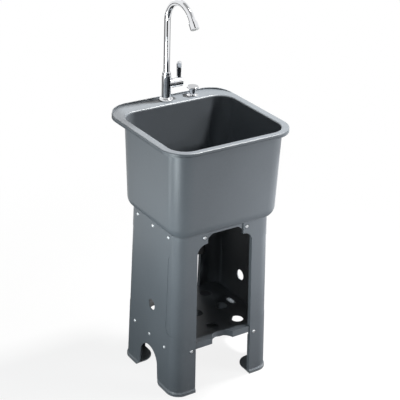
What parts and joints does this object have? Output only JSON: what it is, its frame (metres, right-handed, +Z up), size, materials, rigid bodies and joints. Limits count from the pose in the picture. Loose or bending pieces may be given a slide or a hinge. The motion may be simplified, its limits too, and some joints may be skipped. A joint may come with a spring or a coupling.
{
  "type": "outdoor sink",
  "caption": "Free-standing moulded plastic sink on a two-panel stand with a shelf, swivel gooseneck tap with side lever, and a lift knob for the strainer.",
  "frame": {"origin": "on the floor, in the middle of the stand", "axes": "+X to the right seen from the front, +Y to the back where the tap stands, +Z up"},
  "size_m": [0.412, 0.4035, 1.1213],
  "materials": {
    "basin_plastic": "fine grained, mid grey",
    "panel_plastic": "fine grained, mid grey",
    "chrome": "polished",
    "stainless_steel": "satin",
    "brass": "turned",
    "black_rubber": "moulded",
    "white_plastic": "moulded",
    "black_plastic": "moulded",
    "ceramic": "lapped ceramic"
  },
  "bodies": {
    "stand_and_basin": {"basin": "basin_plastic", "bowl_gasket": "black_rubber", "bowl_lock_nut": "black_plastic", "fixed_valve_disc": "ceramic", "front_lower_screws": "stainless_steel", "front_upper_screws": "stainless_steel", "inlet_shank": "brass", "knob_guide": "chrome", "knob_guide_nut": "black_plastic", "left_lower_screws": "stainless_steel", "left_side_panel": "panel_plastic", "left_upper_screws": "stainless_steel", "lift_cable_gland": "black_plastic", "lock_nut": "brass", "lock_washer": "stainless_steel", "rear_lower_screws": "stainless_steel", "rear_upper_screws": "stainless_steel", "right_lower_screws": "stainless_steel", "right_side_panel": "panel_plastic", "right_upper_screws": "stainless_steel", "shelf": "panel_plastic", "slip_nut": "black_plastic", "spout_nut": "chrome", "strainer_bowl": "stainless_steel", "tailpiece": "black_plastic", "tailpiece_washer": "black_rubber", "tap_body": "chrome", "tap_gasket": "black_rubber", "valve_bonnet": "chrome", "valve_cartridge": "brass"},
    "spout_assembly": {"spout": "chrome", "spout_sleeve": "brass", "spout_seal_rings": "black_rubber", "spout_nozzle": "chrome", "aerator": "white_plastic"},
    "lever": {"lever_handle": "chrome", "valve_stem": "brass", "turning_valve_disc": "ceramic", "handle_screw": "stainless_steel", "handle_cap": "chrome"},
    "knob": {"lift_knob": "chrome", "knob_stop_ring": "brass"},
    "basket": {"strainer_basket": "stainless_steel", "basket_seal": "black_rubber"}
  },
  "joints": [
    {"name": "spout_swivel", "type": "hinge", "parent": "stand_and_basin", "child": "spout_assembly", "pos_m": [-0.004, 0.193, 0.88], "axis": [0, 0, 1], "range_deg": [-180, 180]},
    {"name": "lever_turn", "type": "hinge", "parent": "stand_and_basin", "child": "lever", "pos_m": [0.036, 0.193, 0.8495], "axis": [1, 0, 0], "range_deg": [0, 90]},
    {"name": "knob_lift", "type": "slide", "parent": "stand_and_basin", "child": "knob", "axis": [0, 0, 1], "range_m": [0, 0.012]},
    {"name": "basket_lift", "type": "slide", "parent": "stand_and_basin", "child": "basket", "axis": [0, 0, 1], "range_m": [0, 0.009]}
  ],
  "couplings": [
    {"joint": "basket_lift", "follows": "knob_lift", "ratio": 0.75}
  ]
}
